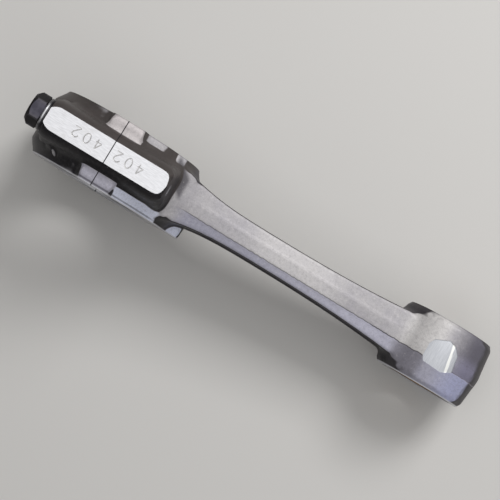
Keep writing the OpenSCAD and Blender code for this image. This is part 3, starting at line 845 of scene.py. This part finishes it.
def turned_steel(name, light, dark, ring_size, shaded_from=far):
    """Bright steel with turning marks round the bolt's direction; painted shade from a place on
    along it, and on the two sides away from the middle.
    """
    steel = Finish(name, metallic=0.9)
    rings = steel.noise(ring_size, 3, steel.stretched(1, 0.03, 0.03), roughness=0.65)
    stain = steel.noise(4 * mm, 3)
    colour = steel.layers(
        steel.mix(rings.rise(0.3, 0.7), dark, light),
        (stain.rise(0.5, 0.8) * 0.5, paint(112, 106, 102)),
        # painted shade from a place on: on the washers, the part by the cap's seat
        (steel.x.rise(shaded_from, shaded_from + 0.15 * mm) * 0.92, paint(40, 39, 42)),
        # painted shade on the two sides, away from the middle
        (abs(steel.y).rise(4.5 * mm, 7 * mm) * 0.8, paint(52, 50, 54)))
    steel.set(Base_Color=colour, Roughness=0.24 + 0.14 * rings + 0.1 * stain)
    steel.relief((rings, 0.006 * mm))
    return steel.material


dowel_steel = turned_steel("dowel_steel", paint(178, 178, 182), paint(142, 142, 146),
                           ring_size=0.3 * mm)
for node in ("dowel_upper", "dowel_lower"):
    dress(node, dowel_steel)

# ---- Washers -------------------------------------------------------------------------------
# Hardened steel washers between the bolt heads and the cap's spot faces. They are turned bright
# on the rim; where they bear on the cap, and on their sides, shade is painted dark.

bright_rim = 1.25 * mm
washer_steel = turned_steel("washer_steel", paint(214, 214, 216), paint(150, 150, 154),
                            ring_size=0.45 * mm, shaded_from=washer_lo.x + bright_rim)
for node in ("washer_upper", "washer_lower"):
    dress(node, washer_steel)

# ---- Bolts ---------------------------------------------------------------------------------
# High-tensile bolts with a black oxide finish, screwed through the cap into the rod. The head is
# upset and its corners are turned off, the shank is waisted, and the thread is rolled.

head_top, head_under = bolt_lo.x, washer_lo.x
head_flat_r = (bolt_hi.z - bolt_lo.z) / 2
head_corner_r = head_flat_r / cos(pi / 6)
head_edge = 0.25 * mm                    # softening of the six long edges
head_crown_r = head_flat_r - 1.1 * mm    # where the turned corners start, on top
head_foot_r = head_corner_r - 0.4 * mm   # and below
washer_face_r, washer_face_h = head_flat_r - 0.3 * mm, 0.5 * mm
shank_r, waist_r, under_fillet = 6 * mm, 5.3 * mm, 0.28 * mm
waist_start, waist_end, waist_taper = head_under + 6 * mm, -8.5 * mm, 0.7 * mm
point_chamfer = 1 * mm
thread_start, thread_end = 4 * mm, bolt_hi.x - point_chamfer
pitch, thread_depth = 1.75 * mm, 0.95 * mm
thread_flat = 0.125                      # share of the depth that crest and root are cut off
rows_per_turn = 10                       # rings of the thread's mesh in one turn


def black_oxide():
    """Black oxide, oily, rubbed through to grey on the head's corners."""
    steel = Finish("black_oxide", metallic=0.35, Specular_IOR_Level=0.25)
    facing_z = steel.parts(steel.facing)[2]
    off_bolt = abs(steel.z) - bolt_z
    from_axis = (steel.y * steel.y + off_bolt * off_bolt).root()
    haze, grit = steel.noise(3.5 * mm, 3), steel.noise(0.3 * mm, 2)
    cloudy = haze.rise(0.35, 0.7)
    wear = (from_axis + (haze - 0.5) * (1 * mm)).rise(head_corner_r - 0.8 * mm,
                                                      head_corner_r - 0.2 * mm)
    # painted light: the flats that face straight up and down are lighter
    lit_facet = abs(facing_z).rise(0.75, 0.95)
    colour = steel.layers(
        steel.mix(cloudy, paint(13, 11, 15), paint(22, 20, 25)),
        (lit_facet, steel.mix(cloudy, paint(66, 64, 74), paint(84, 82, 92))),
        (grit.rise(0.55, 0.75) * 0.2, paint(62, 60, 66)),
        (wear * 0.5, paint(96, 93, 98)))
    steel.set(Base_Color=colour, Roughness=0.40 + 0.18 * haze)
    steel.relief((grit, 0.008 * mm), (haze, 0.02 * mm))
    return steel.material


def hex_head(axis):
    """The head: a hexagon with one flat up, softened edges and turned corners."""
    foot = head_under - washer_face_h
    bm = bmesh.new()
    bm.faces.new([bm.verts.new(axis + along_x * foot + head_corner_r
                               * (along_y * cos(pi / 3 * i) + along_z * sin(pi / 3 * i)))
                  for i in range(6)])
    push_out(bm, bm.faces[:], along_x * (head_top - foot))
    bmesh.ops.recalc_face_normals(bm, faces=bm.faces)
    long_edges = [e for e in bm.edges if abs(e.verts[0].co.x - e.verts[1].co.x) > mm]
    bmesh.ops.bevel(bm, geom=long_edges, offset=head_edge, segments=2, profile=0.5,
                    affect="EDGES", material=-1)
    head = as_piece(bm, "head")
    for face_x, way, face_r in ((head_top, 1, head_crown_r), (foot, -1, head_foot_r)):
        turning = bmesh.new()
        inner, outer = face_r - mm, face_r + 3 * mm
        add_turned(turning, [(face_x - way * mm, inner), (face_x + way * 3 * mm, outer),
                             (face_x - way * mm, outer), (face_x - way * mm, inner)],
                   axis, along_x, along_y)
        machine(head, "forged", turning)
    return head


def cap_bolt(node, axis):
    """One bolt, in the place of its solid: the shank is turned, then its thread is sunk in."""
    bolt = hex_head(axis)
    bm = bmesh.new()
    bm.from_mesh(bolt.data)
    in_head, thread_len = head_under - 2 * washer_face_h, thread_end - thread_start
    rows = int(thread_len / pitch * rows_per_turn)
    add_turned(bm, [(in_head, 0), (in_head, washer_face_r), (head_under, washer_face_r)]
               + [(head_under + under_fillet * (1 - cos(pi / 6 * i)),
                   shank_r + under_fillet * (1 - sin(pi / 6 * i))) for i in range(4)]
               + [(waist_start, shank_r), (waist_start + waist_taper, waist_r),
                  (waist_end - waist_taper, waist_r), (waist_end, shank_r)]
               + [(thread_start + thread_len * i / rows, shank_r) for i in range(rows + 1)]
               + [(bolt_hi.x, shank_r - point_chamfer), (bolt_hi.x, 0)],
               axis, along_x, along_y, steps=48)
    for vert in bm.verts:
        if thread_start < vert.co.x < thread_end:
            spoke = (vert.co - axis) * Vector((0, 1, 1))
            turn = atan2(spoke.z, spoke.y) / (2 * pi)
            phase = (vert.co.x / pitch + turn) % 1
            slope = (1 - abs(2 * phase - 1)) * (1 + 2 * thread_flat) - thread_flat
            groove = min(1, max(0, slope))
            run_out = min(1, (vert.co.x - thread_start) / pitch)
            vert.co -= spoke.normalized() * thread_depth * groove * run_out
    bm.to_mesh(bolt.data)
    bm.free()
    finish_edges(bolt)
    bolt.data.materials.clear()
    bolt.data.materials.append(oxide)
    for face in bolt.data.polygons:
        face.material_index = 0
    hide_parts(node)
    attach(bolt, "root")


oxide = black_oxide()
cap_bolt("bolt_upper", bolt_axes[1])
cap_bolt("bolt_lower", bolt_axes[-1])

# ---- Camera and light ----------------------------------------------------------------------
# The camera looks almost straight down on the rod, which lies on its narrow edge. The eye is
# narrower than the big end, so the floor slopes in the rod's own frame.

lens_px, frame_px, sensor_mm = 1278.5, 500, 36
camera = new_object("camera", bpy.data.cameras.new("camera"))
camera.data.sensor_width = sensor_mm
camera.data.lens = lens_px * sensor_mm / frame_px
camera.location = Vector((36.66, -37.90, 735.77)) * mm
camera.rotation_euler = (radians(-0.0573), radians(-5.2711), radians(31.0830))
bpy.context.scene.camera = camera

floor_half, floor_slope, floor_gap = 3.0, tan(radians(6.83)), 0.05 * mm
rest_x, rest_z = 35.5 * mm, -52 * mm     # corner of the lower flat, on which the big end lies
floor_bm = bmesh.new()
bmesh.ops.create_grid(floor_bm, x_segments=1, y_segments=1, size=floor_half)
for vert in floor_bm.verts:
    vert.co.z = rest_z - floor_gap + (vert.co.x - rest_x) * floor_slope
floor_mesh = bpy.data.meshes.new("floor")
floor_bm.to_mesh(floor_mesh)
floor_bm.free()
floor = new_object("floor", floor_mesh)
concrete = Finish("pale_floor", roughness=0.9)
concrete.set(Base_Color=paint(207, 205, 202))
floor_mesh.materials.append(concrete.material)

room_light = 0.22
world = bpy.data.worlds.new("studio")
world.use_nodes = True
background = world.node_tree.nodes["Background"]
background.inputs["Color"].default_value = (1, 1, 1, 1)
background.inputs["Strength"].default_value = room_light
bpy.context.scene.world = world


def softbox(name, watts, size, location, target):
    """A square lamp that looks at a point."""
    lamp = new_object(name, bpy.data.lights.new(name, "AREA"))
    lamp.data.energy, lamp.data.size = watts, size
    lamp.location = location
    lamp.rotation_euler = (Vector(target) - lamp.location).to_track_quat("-Z", "Y").to_euler()


mid_rod = (0.1, 0, 0)
softbox("overhead", watts=6.0, size=1.5, location=(0.12, 0.0, 1.15), target=mid_rod)
softbox("key", watts=9.8, size=0.5, location=(0.25, 0.85, 0.95), target=mid_rod)

bpy.context.scene.view_settings.view_transform = "Standard"
